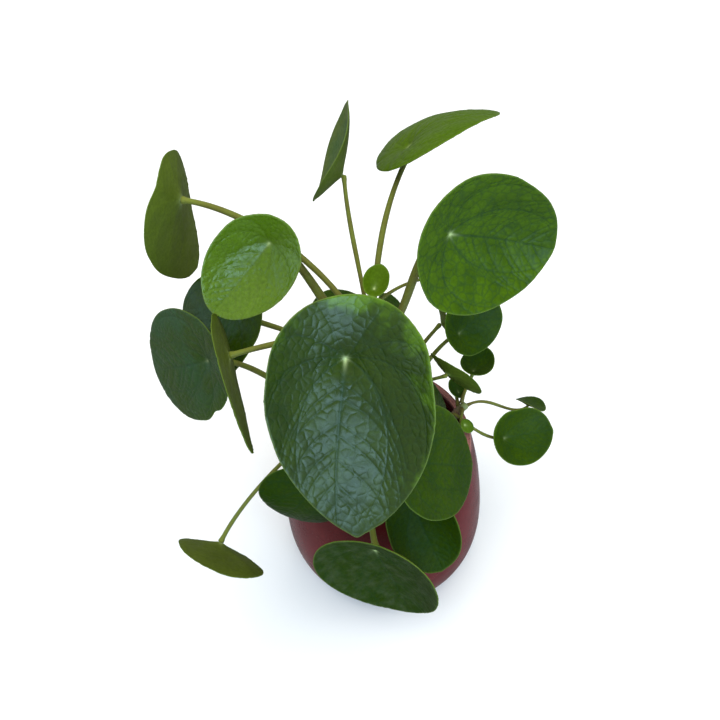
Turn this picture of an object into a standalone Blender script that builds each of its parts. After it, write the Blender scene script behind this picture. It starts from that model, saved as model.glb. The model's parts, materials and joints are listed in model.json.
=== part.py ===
"""Potted Chinese money plant (Pilea peperomioides).

Metres, +Z up. The origin is the centre of the pot's base, and -Y is the front.
A glazed cover pot holds the soil. A woody main stem and a small leaning side shoot
grow out of the soil, and every leaf is a round blade on its own long stalk.
"""

from dataclasses import dataclass
from math import atan2, cos, degrees, hypot, pi, radians, sin, sqrt

import bmesh
import bpy
from mathutils import Matrix, Vector
from mathutils.geometry import interpolate_bezier

# ---------------------------------------------------------------- driving dimensions

GAP = 0.0003  # clearance kept between pieces that touch

POT_HEIGHT = 0.108
POT_RIM_RADIUS = 0.052
POT_BELLY_RADIUS = 0.0605
POT_BELLY_HEIGHT = 0.036
POT_BASE_RADIUS = 0.045
POT_WALL = 0.004
POT_FLOOR = 0.006
RIM_ROUNDING = 0.0012

SOIL_DROP = 0.014  # from the rim down to the soil at the wall
SOIL_MOUND = 0.002  # rise of the soil towards the middle

MAIN_STEM_HEIGHT = 0.098  # above the soil
MAIN_STEM_BASE_RADIUS = 0.0075
MAIN_STEM_TOP_RADIUS = 0.005
MAIN_STEM_Y = 0.006
MAIN_STEM_SWAY = 0.0015
MAIN_STEM_DEPTH = 0.030  # below the soil's surface

SIDE_SHOOT_BASE_RADIUS = 0.0026
SIDE_SHOOT_TOP_RADIUS = 0.0022
SIDE_SHOOT_BEARING = 12
SIDE_SHOOT_TO_WALL = 0.0057  # from its axis to the pot's inner wall
SIDE_SHOOT_DEPTH = 0.012
SIDE_SHOOT_OVERHANG = 0.0005  # from the rim's outer edge out to the shoot's tip
SIDE_SHOOT_RISE = 0.011  # of its tip above the rim
SIDE_SHOOT_ELBOW = 0.0052  # height above the rim at which it bends outward

BLADE_THICKNESS = 0.0009
HUB_SHARE = 0.28  # of a blade's length that lies behind the stalk's joint

STOUT, FIRM, SLIM, FINE = 0.0018, 0.0015, 0.0012, 0.0009  # stalk radii

SCREW_STEPS = 36
BLADE_SPOKES = 16
BLADE_RINGS = 4
STALK_POINTS = 8

SOIL_Z = POT_HEIGHT - SOIL_DROP
POT_WIDEST_RADIUS = max(POT_RIM_RADIUS, POT_BELLY_RADIUS)


@dataclass
class Leaf:
    """One leaf: a round blade whose underside sits on the end of its stalk.

    Lengths are in millimetres and angles in degrees. A bearing is measured from +X towards
    +Y. The hub is where the stalk meets the blade: 'reach' is from the main stem's axis and
    'rise' from its top, or, for a leaf that hangs over the rim, from the pot's widest radius
    and from its rim. 'facing' is the bearing and the elevation in which the upper side looks.
    'turn' swings the tip from straight downhill. 'cone' is the slope from the hub up to the
    rim. 'bend' curls the blade along its midrib and 'fold' across it, in radians from the hub
    to half a length away, and each is negative where the blade cups upward. 'wave' lifts the
    rim in three places, by a share of half the length, the first of them 'wave_turn' from the
    tip. 'egg' is how much wider the blade is behind its middle.
    """

    name: str
    bearing: float
    reach: float
    rise: float
    facing: tuple
    turn: float
    length: float
    width: float
    cone: float
    bend: float
    fold: float
    egg: float = 0.06
    wave: float = 0.0
    wave_turn: float = 0.0
    stalk: float = FIRM
    node: float = 0.9  # height of the stalk's root, as a share of its stem's height
    spring: float = 50  # elevation in which the stalk leaves its stem
    swing: float = 0  # turns the stalk's root round its stem
    square: float = 0.6  # 1 meets the blade squarely, 0 comes straight from the stem
    bow: tuple = (0, 0, 0)  # shifts the stalk's upper bend
    stem: str = "main_stem"
    hangs: bool = False
    young: bool = False  # the yellow-green of a new leaf


LEAVES = [
    # the big leaf in front
    Leaf("front", -107, 48, 34, (-87, 35), 0, 102, 90, 0.32, 0.3, -0.6, 0.2, 0.045, 20,
         stalk=STOUT, node=0.93),
    # the crown's long-stalked leaves
    Leaf("upper_left", 159, 50, 48, (-104, 22), -37, 62, 52, 0.2, -0.4, -0.75, 0.05,
         node=0.8, spring=60, young=True),
    Leaf("far_left", 147, 111, 44, (164, 0), -7, 73, 62, 0.25, 0.2, -0.2, 0.2, -0.02, 0,
         node=0.98, spring=70, square=0.8, bow=(0, 0, 4)),
    Leaf("top_edge", 99, 66, 48, (157, 26), -101, 61, 53, 0.2, -0.3, -0.25, 0.19, -0.05, 0,
         stalk=SLIM, node=0.88, swing=-8, spring=60, square=0.0, bow=(-3, 0, 0)),
    Leaf("top_right", 71, 78, 56, (152, 52), -130, 64, 57, 0.24, 0.75, 0.5, 0.17,
         node=0.95, swing=5, spring=62, square=-0.2, bow=(-6, 0, 0), young=True),
    Leaf("right_large", 12, 40, 53, (-58, 9), 62, 82, 76, 0.0, -0.4, -0.8, 0.15, 0.04, 54,
         stalk=STOUT, node=0.92),
    Leaf("hidden_right", 36, 56, 1, (40, 50), 0, 26, 23, 0.12, -0.1, 0.1,
         stalk=FINE, node=0.99, spring=85, bow=(-5, 0, 28)),
    Leaf("left_low", -175, 85, -5, (-139, 20), -51, 67, 59, 0.17, 0.18, 0.25, -0.09,
         node=0.12, spring=30),
    Leaf("left_narrow", -163, 74, 14, (-172, -5), 77, 69, 62, 0.05, 0.13, 0.03, 0.08,
         node=0.85, spring=75, square=1.3),
    Leaf("left_back", 159, 80, -8, (-136, 53), -21, 64, 57, 0.08, 0.75, 0.05,
         node=0.62, spring=70),
    Leaf("behind_right", 49, 64, -53, (10, 15), 180, 24, 21, 0.2, -0.1, 0.1,
         stalk=SLIM, node=0.24, spring=70, square=0.3),
    Leaf("right_back", 28, 55, -37, (-46, 38), 98, 40, 35, 0.15, -0.42, -0.1, 0.0, 0.017, 60,
         stalk=SLIM, node=0.18, spring=55),
    # young leaves at the growing tip
    Leaf("crown", 77, 9, 21, (-70, 75), 141, 18, 15, 0.2, -0.1, -0.7,
         stalk=FINE, node=1.0, spring=80, young=True),
    Leaf("crown_back_left", 125, 28, -7, (110, 60), 0, 30, 26, 0.15, -0.2, 0.1,
         stalk=FINE, node=0.78),
    Leaf("crown_back_right", 63, 25, -8, (40, 55), 60, 16, 14, 0.15, -0.2, 0.1,
         stalk=FINE, node=0.8, spring=60),
    Leaf("front_right", -20, 20, -5, (0, 40), 20, 14, 12, 0.15, -0.2, 0.1,
         stalk=FINE, node=0.7),
    # the lower leaves inside the rim
    Leaf("right_mid", -76, 62, -31, (-25, 32), 36, 69, 58, 0.08, 0.1, -0.08, node=0.5),
    Leaf("rim_leaf", -40, 37, -40, (5, 13), 39, 42, 36, 0.12, -0.1, 0.2,
         stalk=SLIM, node=0.3),
    Leaf("pup_narrow", 0, 39, -39, (44, 19), -3, 40, 35, 0.17, 0.0, -0.2, 0.06, 0.02, 20,
         stalk=FINE, node=0.16, spring=35, swing=60, bow=(0, 12, 0)),
    # the leaves that hang outside the pot
    Leaf("bottom", -96, 15, 6, (-109, -9), 18, 81, 72, 0.0, -0.33, -0.85, 0.18, -0.04, 0,
         stalk=STOUT, node=0.6, swing=-40, spring=55, bow=(-9, 0, 0), hangs=True),
    Leaf("bottom_left", -152, 45, -19, (-118, -30), 146, 54, 48, 0.18, -0.07, 0.03, -0.1, 0.022, -10,
         stalk=SLIM, node=0.3, spring=75, square=0.8, hangs=True),
    Leaf("right_low", -75, -2, 14, (-90, 33), 18, 51, 45, 0.15, 0.1, -0.85, 0.06, 0.02, 0,
         stalk=SLIM, node=0.4, hangs=True),
    Leaf("left_front", -125, 6, 36, (-97, 13), -31, 51, 45, 0.07, 0.53, 0.37,
         stalk=SLIM, node=0.46, hangs=True),
    # the side shoot's small leaves
    Leaf("pup_high", 26, 3, 20, (51, 74), 4, 25, 21, 0.16, -0.5, -0.5,
         stalk=FINE, node=0.95, spring=60, stem="side_shoot", hangs=True),
    Leaf("pup_tiny", 22, -9, 12, (-16, 59), 133, 13, 12, 0.13, -0.1, 0.05,
         stalk=FINE, node=0.8, spring=30, square=0.9, stem="side_shoot", hangs=True),
    Leaf("pup_round", 2, 13, -14, (-43, 39), 60, 43, 37, 0.2, -0.34, -0.3, 0.0, 0.016, 20,
         stalk=FINE, node=0.6, spring=75, swing=-75, bow=(-5, -9, 7), stem="side_shoot", hangs=True),
    Leaf("pup_behind", 16, 35, -15, (53, 43), -7, 20, 18, 0.13, -0.33, 0.3,
         stalk=FINE, node=0.9, spring=20, square=0.3, stem="side_shoot", hangs=True),
    Leaf("sprout", -4, -12, 11, (-30, 40), 30, 11, 8, 0.1, 0.2, 0.5,
         stalk=FINE, node=0.85, spring=30, stem="side_shoot", hangs=True, young=True),
]

# ---------------------------------------------------------------- scene helpers


def clear_scene():
    for old in list(bpy.data.objects):
        bpy.data.objects.remove(old)


def new_collection(name):
    collection = bpy.data.collections.new(name)
    bpy.context.scene.collection.children.link(collection)
    return collection


def new_material(name, colour, roughness):
    material = bpy.data.materials.new(name)
    material.use_nodes = True
    shader = material.node_tree.nodes["Principled BSDF"]
    shader.inputs["Base Color"].default_value = (*colour, 1.0)
    shader.inputs["Roughness"].default_value = roughness
    shader.inputs["Metallic"].default_value = 0.0
    return material


def finish_object(obj, collection, material):
    obj.data.materials.append(material)
    collection.objects.link(obj)
    return obj


def turned(name, profile, collection, material):
    """A solid of revolution about Z. The profile runs down its outer side."""
    mesh = bpy.data.meshes.new(name)
    edges = [(i, i + 1) for i in range(len(profile) - 1)]
    mesh.from_pydata([(radius, 0.0, z) for radius, z in profile], edges, [])
    obj = finish_object(bpy.data.objects.new(name, mesh), collection, material)
    screw = obj.modifiers.new("Turn", "SCREW")
    screw.steps = screw.render_steps = SCREW_STEPS
    screw.use_merge_vertices = True
    screw.merge_threshold = 0.00001
    screw.use_smooth_shade = True
    return obj


def tube(name, points, radii, collection, material):
    """A round rod along a list of points, with a radius at each one."""
    curve = bpy.data.curves.new(name, "CURVE")
    curve.dimensions = "3D"
    curve.bevel_depth = 1.0
    curve.bevel_resolution = 2
    curve.use_fill_caps = True
    spline = curve.splines.new("POLY")
    spline.points.add(len(points) - 1)
    spline.use_smooth = True
    for knot, point, radius in zip(spline.points, points, radii):
        knot.co = (*point, 1.0)
        knot.radius = radius
    return finish_object(bpy.data.objects.new(name, curve), collection, material)


def compass(bearing, elevation=0.0):
    """The unit vector in a bearing from +X towards +Y, raised by an elevation."""
    turn, lift = radians(bearing), radians(elevation)
    return Vector((cos(turn) * cos(lift), sin(turn) * cos(lift), sin(lift)))


# ---------------------------------------------------------------- pot and soil


def pot_radius(z):
    """The pot's outer radius: a round lower belly that closes slowly towards the rim."""
    if z < POT_BELLY_HEIGHT:
        up = 1 - z / POT_BELLY_HEIGHT
        swell = POT_BELLY_RADIUS - POT_BASE_RADIUS
        return POT_BASE_RADIUS + swell * sqrt(1 - up * up)
    up = (z - POT_BELLY_HEIGHT) / (POT_HEIGHT - POT_BELLY_HEIGHT)
    return POT_BELLY_RADIUS - (POT_BELLY_RADIUS - POT_RIM_RADIUS) * up * up


def inner_radius(z):
    return pot_radius(z) - POT_WALL


def make_pot(collection, material):
    shoulder = POT_HEIGHT - RIM_ROUNDING
    depth = shoulder - POT_FLOOR
    inside = [POT_FLOOR + depth * share for share in (0, 0.08, 0.25, 0.5, 0.8, 1)]
    outside = [shoulder * share for share in (1, 0.85, 0.7, 0.5, 0.33, 0.2, 0.1, 0.035)]
    profile = [(0.0, POT_FLOOR)]
    profile += [(inner_radius(z), z) for z in inside]
    profile += [(POT_RIM_RADIUS - POT_WALL + RIM_ROUNDING, POT_HEIGHT)]
    profile += [(POT_RIM_RADIUS - RIM_ROUNDING, POT_HEIGHT)]
    profile += [(pot_radius(z), z) for z in outside]
    profile += [(POT_BASE_RADIUS, 0.0), (0.0, 0.0)]
    return turned("pot", profile, collection, material)


def make_soil(collection, material, holes):
    bottom = POT_FLOOR + GAP
    heights = [bottom + (SOIL_Z - bottom) * share for share in (1, 0.85, 0.6, 0.3, 0.1, 0)]
    profile = [(0.0, SOIL_Z + SOIL_MOUND), (POT_RIM_RADIUS * 0.5, SOIL_Z + SOIL_MOUND * 0.6)]
    profile += [(inner_radius(z) - GAP, z) for z in heights]
    profile += [(0.0, bottom)]
    soil = turned("soil", profile, collection, material)
    for hole in holes:
        cut = soil.modifiers.new("Hole", "BOOLEAN")
        cut.operation = "DIFFERENCE"
        cut.object = hole
    return soil


def hole_cutter(name, stem_name, depth, collection):
    """The room for a stem's foot, from above the soil down to a depth below its surface."""
    stem = STEMS[stem_name]
    centre = stem.point(0)
    radius = stem.base_radius + GAP
    length = depth + GAP + SOIL_DROP
    shape = bmesh.new()
    bmesh.ops.create_cone(
        shape, cap_ends=True, segments=16, radius1=radius, radius2=radius, depth=length
    )
    mesh = bpy.data.meshes.new(name)
    shape.to_mesh(mesh)
    shape.free()
    cutter = bpy.data.objects.new(name, mesh)
    cutter.location = (centre.x, centre.y, SOIL_Z - depth - GAP + length / 2)
    cutter.hide_render = True
    cutter.display_type = "WIRE"
    collection.objects.link(cutter)
    return cutter


# ---------------------------------------------------------------- stems


class Stem:
    """A tapering round stem along a smooth path that starts in the soil."""

    def __init__(self, path, base_radius, top_radius):
        self.path = path
        self.base_radius = base_radius
        self.top_radius = top_radius

    def radius(self, share):
        return self.base_radius + (self.top_radius - self.base_radius) * share

    def point(self, share):
        return self.path(share)

    def direction(self, share):
        above, below = min(share + 0.01, 1.0), max(share - 0.01, 0.0)
        return (self.path(above) - self.path(below)).normalized()


def main_stem_path(share):
    """Straight up from the soil, with a slight sway that dies out at both ends."""
    sway = MAIN_STEM_SWAY * sin(2 * pi * share)
    return Vector((sway, MAIN_STEM_Y, SOIL_Z + SOIL_MOUND + MAIN_STEM_HEIGHT * share))


def side_shoot_path(share):
    """Up out of the soil close to the wall, then outward over the rim."""
    outward = compass(SIDE_SHOOT_BEARING)
    foot = outward * (POT_RIM_RADIUS - POT_WALL - SIDE_SHOOT_TO_WALL)
    foot.z = SOIL_Z + SOIL_MOUND
    over_rim = Vector((foot.x, foot.y, POT_HEIGHT + SIDE_SHOOT_ELBOW))
    tip = outward * (POT_RIM_RADIUS + SIDE_SHOOT_OVERHANG)
    tip.z = POT_HEIGHT + SIDE_SHOOT_RISE
    a, b = foot.lerp(over_rim, share), over_rim.lerp(tip, share)
    return a.lerp(b, share)


STEMS = {
    "main_stem": Stem(main_stem_path, MAIN_STEM_BASE_RADIUS, MAIN_STEM_TOP_RADIUS),
    "side_shoot": Stem(side_shoot_path, SIDE_SHOOT_BASE_RADIUS, SIDE_SHOOT_TOP_RADIUS),
}


def make_stem(name, depth, points, collection, material):
    stem = STEMS[name]
    foot = stem.point(0) - Vector((0, 0, depth + SOIL_MOUND))
    shares = [i / (points - 1) for i in range(points)]
    knots = [foot] + [stem.point(share) for share in shares]
    radii = [stem.radius(0)] + [stem.radius(share) for share in shares]
    return tube(name, knots, radii, collection, material)


# ---------------------------------------------------------------- leaves


def hub_of(leaf):
    """Where the stalk meets the blade's upper surface."""
    outward = compass(leaf.bearing)
    if leaf.hangs:
        origin = Vector((0, 0, POT_HEIGHT)) + outward * POT_WIDEST_RADIUS
    else:
        origin = STEMS["main_stem"].point(1)
    return origin + outward * leaf.reach / 1000 + Vector((0, 0, leaf.rise / 1000))


def blade_axes(leaf):
    """Across the blade, towards its tip, and out of its upper side."""
    bearing, elevation = leaf.facing
    normal = compass(bearing, elevation)
    downhill = compass(bearing, elevation - 90)
    sideways = normal.cross(downhill)
    tip = downhill * cos(radians(leaf.turn)) + sideways * sin(radians(leaf.turn))
    return tip.cross(normal), tip, normal


def blade_point(leaf, ring, angle):
    """A point of the upper surface, 'ring' from 0 at the hub to 1 at the rim, angle 0 at the tip."""
    half = leaf.length / 2000
    x = ring * leaf.width / 2000 * sin(angle) * (1 - leaf.egg * cos(angle))
    y = ring * half * (1 - 2 * HUB_SHARE + cos(angle))
    z = leaf.cone * hypot(x, y)
    z += leaf.wave * half * ring * ring * cos(3 * (angle - radians(leaf.wave_turn)))
    if leaf.fold:
        x, z = curled(x, z, leaf.fold, half)
    if leaf.bend:
        y, z = curled(y, z, leaf.bend, half)
    return Vector((x, y, z))


def curled(along, height, amount, half):
    """Wraps a flat strip round a cylinder, so that it curls away from its upper side."""
    radius, turn = half / amount, amount * along / half
    return (radius + height) * sin(turn), height * cos(turn) - radius * (1 - cos(turn))


def make_blade(leaf, collection, material):
    """A fan of rings round the hub, shaped by blade_point, thickened downwards."""
    shape = bmesh.new()
    spoke = [shape.verts.new((0.0, i / BLADE_RINGS, 0.0)) for i in range(BLADE_RINGS + 1)]
    edges = [shape.edges.new(pair) for pair in zip(spoke, spoke[1:])]
    bmesh.ops.spin(
        shape,
        geom=spoke + edges,
        cent=(0, 0, 0),
        axis=(0, 0, 1),
        angle=2 * pi,
        steps=BLADE_SPOKES,
    )
    bmesh.ops.remove_doubles(shape, verts=shape.verts, dist=0.001)
    bmesh.ops.recalc_face_normals(shape, faces=shape.faces)
    shape.normal_update()
    if next(iter(shape.faces)).normal.z < 0:
        bmesh.ops.reverse_faces(shape, faces=shape.faces)
    for vertex in shape.verts:
        ring = hypot(vertex.co.x, vertex.co.y)
        vertex.co = blade_point(leaf, ring, atan2(vertex.co.x, vertex.co.y))
    mesh = bpy.data.meshes.new(leaf.name + "_leaf")
    shape.to_mesh(mesh)
    shape.free()
    mesh.shade_smooth()
    blade = finish_object(bpy.data.objects.new(mesh.name, mesh), collection, material)
    across, tip, normal = blade_axes(leaf)
    blade.location = hub_of(leaf)
    blade.rotation_euler = Matrix((across, tip, normal)).transposed().to_euler()
    solid = blade.modifiers.new("Thickness", "SOLIDIFY")
    solid.thickness = BLADE_THICKNESS
    solid.offset = -1.0
    return blade


def make_stalk(leaf, collection, material):
    """A rod that springs from its stem, arches over and meets the blade's underside."""
    stem = STEMS[leaf.stem]
    hub = hub_of(leaf)
    normal = blade_axes(leaf)[2]
    root = stem.point(leaf.node)
    to_hub = hub - root
    bearing = degrees(atan2(to_hub.y, to_hub.x)) + leaf.swing
    leaving = compass(bearing, leaf.spring)
    along = stem.direction(leaf.node)
    if leaf.node >= 1:
        start = root + along * (GAP + leaf.stalk)
    else:
        slant = leaving.dot(along)
        sideways = (leaving - along * slant).normalized()
        start = root + sideways * (stem.radius(leaf.node) + GAP + leaf.stalk * abs(slant))
    chord = hub - start
    pull = chord.length / 3
    arriving = normal * leaf.square + chord.normalized() * (1 - leaf.square)
    arriving = arriving.normalized() * pull - Vector(leaf.bow) / 1000
    tilt = sqrt(max(0.0, 1 - arriving.normalized().dot(normal) ** 2))
    end = hub - normal * (BLADE_THICKNESS + GAP + leaf.stalk * tilt)
    lower_bend = start + leaving * pull
    upper_bend = end - arriving
    knots = interpolate_bezier(start, lower_bend, upper_bend, end, STALK_POINTS)
    return tube(leaf.name + "_stalk", knots, [leaf.stalk] * STALK_POINTS, collection, material)


# ---------------------------------------------------------------- the whole plant


def main():
    clear_scene()
    parts = new_collection("potted_chinese_money_plant")
    cutters = new_collection("cutters")

    glaze = new_material("pot_glaze", (0.13, 0.035, 0.035), 0.25)
    earth = new_material("soil", (0.02, 0.014, 0.009), 0.95)
    bark = new_material("stem_bark", (0.12, 0.075, 0.04), 0.8)
    green = new_material("leaf_green", (0.05, 0.12, 0.015), 0.35)
    fresh = new_material("young_leaf_green", (0.13, 0.25, 0.02), 0.35)
    stalk_green = new_material("stalk_green", (0.17, 0.2, 0.08), 0.5)

    make_pot(parts, glaze)
    make_stem("main_stem", MAIN_STEM_DEPTH, 8, parts, bark)
    make_stem("side_shoot", SIDE_SHOOT_DEPTH, 6, parts, bark)
    holes = [
        hole_cutter("main_stem_hole", "main_stem", MAIN_STEM_DEPTH, cutters),
        hole_cutter("side_shoot_hole", "side_shoot", SIDE_SHOOT_DEPTH, cutters),
    ]
    make_soil(parts, earth, holes)
    for leaf in LEAVES:
        make_blade(leaf, parts, fresh if leaf.young else green)
        make_stalk(leaf, parts, stalk_green)


main()
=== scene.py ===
"""Builds the fine surfaces and finishes of a potted Chinese money plant round its solid frame.

The frame gives every piece its place. Each blade, stalk and stem is rebuilt as a fine mesh along
the shape of its own solid, and so are the pot and the soil. The file is laid out as an add-on
with one operator for each kind of piece, and it runs as a script.
"""

import json
import math
import random
from collections import defaultdict

import bpy
import numpy as np
from bpy.props import FloatProperty, FloatVectorProperty, IntProperty, PointerProperty
from mathutils import Matrix, Vector, noise

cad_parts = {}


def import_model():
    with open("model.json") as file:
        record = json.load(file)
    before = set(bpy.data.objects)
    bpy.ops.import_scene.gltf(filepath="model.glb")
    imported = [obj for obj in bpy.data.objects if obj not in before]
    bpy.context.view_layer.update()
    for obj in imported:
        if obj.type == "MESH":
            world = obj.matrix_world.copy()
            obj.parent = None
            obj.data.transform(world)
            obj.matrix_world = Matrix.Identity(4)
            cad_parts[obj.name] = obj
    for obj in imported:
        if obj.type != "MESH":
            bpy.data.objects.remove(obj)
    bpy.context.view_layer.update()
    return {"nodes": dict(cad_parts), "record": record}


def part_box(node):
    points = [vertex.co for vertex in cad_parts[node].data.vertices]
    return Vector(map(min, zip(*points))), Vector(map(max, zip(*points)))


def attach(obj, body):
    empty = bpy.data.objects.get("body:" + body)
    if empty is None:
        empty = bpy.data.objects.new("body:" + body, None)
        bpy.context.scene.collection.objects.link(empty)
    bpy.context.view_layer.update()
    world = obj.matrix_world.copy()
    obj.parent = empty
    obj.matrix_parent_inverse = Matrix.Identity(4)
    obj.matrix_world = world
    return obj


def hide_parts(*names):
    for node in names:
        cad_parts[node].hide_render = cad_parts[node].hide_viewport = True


bl_info = {
    "name": "Potted Chinese Money Plant",
    "version": (1, 0, 0),
    "blender": (4, 5, 0),
    "location": "View3D > Sidebar > Money Plant",
    "description": "Builds a potted plant's leaves, stalks, stems, soil and glazed pot round its frame",
    "category": "Add Mesh",
}

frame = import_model()
NODES = sorted(frame["nodes"])
LEAF_NAMES = [node[: -len("_leaf")] for node in NODES if node.endswith("_leaf")]
SLOT_OF = {row["node"]: row["material_slot"] for row in frame["record"]["subparts"]}

MM = 0.001

# ---------------------------------------------------------------- reading the frame's solids

ROD_SIDES = 8  # corners round every stalk's and stem's solid


def welded(node):
    """A solid's points and triangles, with the points that share a place made one."""
    mesh = frame["nodes"][node].data
    mesh.calc_loop_triangles()
    points = np.array([vertex.co for vertex in mesh.vertices], float)
    corners = np.array([triangle.vertices for triangle in mesh.loop_triangles])
    places, index = np.unique(np.round(points, 6), axis=0, return_inverse=True)
    return places, index.reshape(-1)[corners]


def neighbours(triangles):
    """For each point, the points that share an edge with it."""
    near = defaultdict(set)
    for a, b, c in triangles.tolist():
        near[a] |= {b, c}
        near[b] |= {a, c}
        near[c] |= {a, b}
    return near


def layers_from(first, near):
    """Sets of points, each one step further from the first set."""
    layers = [set(first)]
    seen = set(first)
    while True:
        following = set().union(*(near[i] for i in layers[-1])) - seen
        if not following:
            return layers
        seen |= following
        layers.append(following)


def in_order(layer, near):
    """The points of a closed ring, in the order in which they join."""
    ring = [min(layer)]
    while len(ring) < len(layer):
        onward = [i for i in sorted(near[ring[-1]] & layer) if i not in ring]
        ring.append(onward[0])
    return ring


def flat_ends(points, triangles):
    """The two round flat faces of a rod, each as a set of points."""
    corners = points[triangles]
    normals = np.cross(corners[:, 1] - corners[:, 0], corners[:, 2] - corners[:, 0])
    normals /= np.linalg.norm(normals, axis=1)[:, None]
    beside = defaultdict(list)
    for number, triangle in enumerate(triangles.tolist()):
        for i in range(3):
            beside[frozenset((triangle[i], triangle[i - 1]))].append(number)
    level = defaultdict(set)
    for pair in beside.values():
        if normals[pair[0]] @ normals[pair[-1]] > 0.9999:
            level[pair[0]].add(pair[-1])
            level[pair[-1]].add(pair[0])
    ends, seen = [], set()
    for number in range(len(triangles)):
        if number in seen:
            continue
        face = set().union(*layers_from({number}, level))
        seen |= face
        members = set(triangles[sorted(face)].ravel().tolist())
        ring = points[sorted(members)]
        radii = np.linalg.norm(ring - ring.mean(axis=0), axis=1)
        if len(ring) == ROD_SIDES and np.ptp(radii) < 0.05 * radii.mean():
            ends.append(members)
    return ends


def rod(node, towards):
    """A rod's centre line and radii. It ends nearest to the point 'towards'."""
    points, triangles = welded(node)
    near = neighbours(triangles)
    ends = flat_ends(points, triangles)
    first = max(ends, key=lambda end: np.linalg.norm(points[sorted(end)].mean(axis=0) - towards))
    rings = [points[sorted(layer)] for layer in layers_from(first, near)]
    centres = np.array([ring.mean(axis=0) for ring in rings])
    radii = [np.linalg.norm(ring - ring.mean(axis=0), axis=1).mean() for ring in rings]
    return centres, np.array(radii)


# ---------------------------------------------------------------- meshes


class Skin:
    """Points and faces gathered ring by ring into one closed mesh."""

    def __init__(self):
        self.count = 0
        self.points = []
        self.faces = []
        self.slots = []

    def add(self, points):
        """A ring of points, or a single point, and its numbers."""
        points = np.atleast_2d(points)
        numbers = np.arange(self.count, self.count + len(points))
        self.count += len(points)
        self.points.append(points)
        return numbers

    def take(self, faces, slot):
        """Faces that all have the finish in one slot."""
        self.faces += faces
        self.slots += [slot] * len(faces)

    def join(self, a, b, slot=0):
        """Faces between two rings that have as many points, or one of them twice as many."""
        n, m = len(a), len(b)
        if n == 1 or m == 1:
            ring, hub = (b, int(a[0])) if n == 1 else (a, int(b[0]))
            after = np.roll(ring, -1)
            faces = [(hub, int(q), int(p)) for p, q in zip(ring, after)]
            if m == 1:
                faces = [face[::-1] for face in faces]
        elif n == m:
            faces = np.stack([a, np.roll(a, -1), np.roll(b, -1), b], axis=1).tolist()
        elif m == 2 * n:
            c, d, e, after = b[0::2], b[1::2], np.roll(b, -2)[0::2], np.roll(a, -1)
            faces = np.stack([a, d, c], axis=1).tolist()
            faces += np.stack([a, after, d], axis=1).tolist()
            faces += np.stack([after, e, d], axis=1).tolist()
        else:
            c, d, e, after = a[0::2], a[1::2], np.roll(a, -2)[0::2], np.roll(b, -1)
            faces = np.stack([b, c, d], axis=1).tolist()
            faces += np.stack([b, d, after], axis=1).tolist()
            faces += np.stack([after, d, e], axis=1).tolist()
        self.take(faces, slot)

    def closed_ring_stack(self, rings, slot=0):
        """A tube of rings with a point added to close each end."""
        numbers = [self.add(ring) for ring in rings]
        for a, b in zip(numbers, numbers[1:]):
            self.join(a, b, slot)
        first = self.add(rings[0].mean(axis=0))
        last = self.add(rings[-1].mean(axis=0))
        self.join(first, numbers[0], slot)
        self.join(numbers[-1], last, slot)
        return numbers

    def piece(self, name, materials, attributes=None, flat=None):
        """Makes the object, with its faces turned outward."""
        points = np.vstack(self.points)
        if signed_volume(points, self.faces) < 0:
            self.faces = [face[::-1] for face in self.faces]
        mesh = bpy.data.meshes.new(name)
        mesh.from_pydata(points.tolist(), [], self.faces)
        for material in materials:
            mesh.materials.append(material)
        mesh.polygons.foreach_set("material_index", self.slots)
        mesh.shade_smooth()
        for label, values in (attributes or {}).items():
            layer = mesh.attributes.new(label, "FLOAT", "POINT")
            layer.data.foreach_set("value", np.asarray(values, np.float32))
        if flat is not None:
            corners = np.empty(len(mesh.loops), np.int32)
            mesh.loops.foreach_get("vertex_index", corners)
            layer = mesh.uv_layers.new(name="flat")
            layer.data.foreach_set("uv", flat[corners].astype(np.float32).ravel())
        mesh.validate()
        piece = bpy.data.objects.new(name, mesh)
        bpy.context.scene.collection.objects.link(piece)
        return piece


def signed_volume(points, faces):
    """Six times a mesh's volume, and below zero where its faces point inward."""
    total = 0.0
    for size in (3, 4):
        chosen = np.array([face for face in faces if len(face) == size])
        if len(chosen) == 0:
            continue
        corners = points[chosen]
        for k in range(2, size):
            cross = np.cross(corners[:, k - 1], corners[:, k])
            total += (corners[:, 0] * cross).sum()
    return total


def settle(piece, node):
    """The piece stands for its solid, which is hidden, and rides with the root."""
    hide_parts(node)
    SLOT_OF[node]
    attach(piece, "root")


def unit(vectors):
    """The same directions, each of length one."""
    return vectors / np.maximum(np.linalg.norm(vectors, axis=-1, keepdims=True), 1e-12)


def ease(x):
    """A smooth rise from 0 at 0 to 1 at 1, held outside."""
    x = np.clip(x, 0.0, 1.0)
    return x * x * (3 - 2 * x)


def bell(distance, width, power=2):
    """1 at no distance, falling smoothly to nothing a few widths away."""
    return np.exp(-((distance / width) ** power))


def apart(turns, turn):
    """Angles from one turn to others, each the shorter way round."""
    return (turns - turn + np.pi) % (2 * np.pi) - np.pi


def wobble(places, size, seed, depth=2):
    """Smooth noise between about -1 and 1 at each place, with features of the given size."""
    shift = Vector((seed * 3.17, seed * 1.93, seed * 7.31))
    return np.array(
        [
            noise.fractal(Vector((*p, 0.0)[:3]) / size + shift, 0.8, 2.1, depth)
            for p in places.tolist()
        ]
    )


# ---------------------------------------------------------------- node tools


def new_group(name, inputs, outputs):
    """A shader node group with named sockets, and its input and output nodes."""
    group = bpy.data.node_groups.new(name, "ShaderNodeTree")
    for label, kind, value in inputs:
        socket = group.interface.new_socket(name=label, in_out="INPUT", socket_type=kind)
        socket.default_value = value
    for label, kind in outputs:
        group.interface.new_socket(name=label, in_out="OUTPUT", socket_type=kind)
    nodes = group.nodes
    return group, nodes.new("NodeGroupInput"), nodes.new("NodeGroupOutput")


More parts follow.
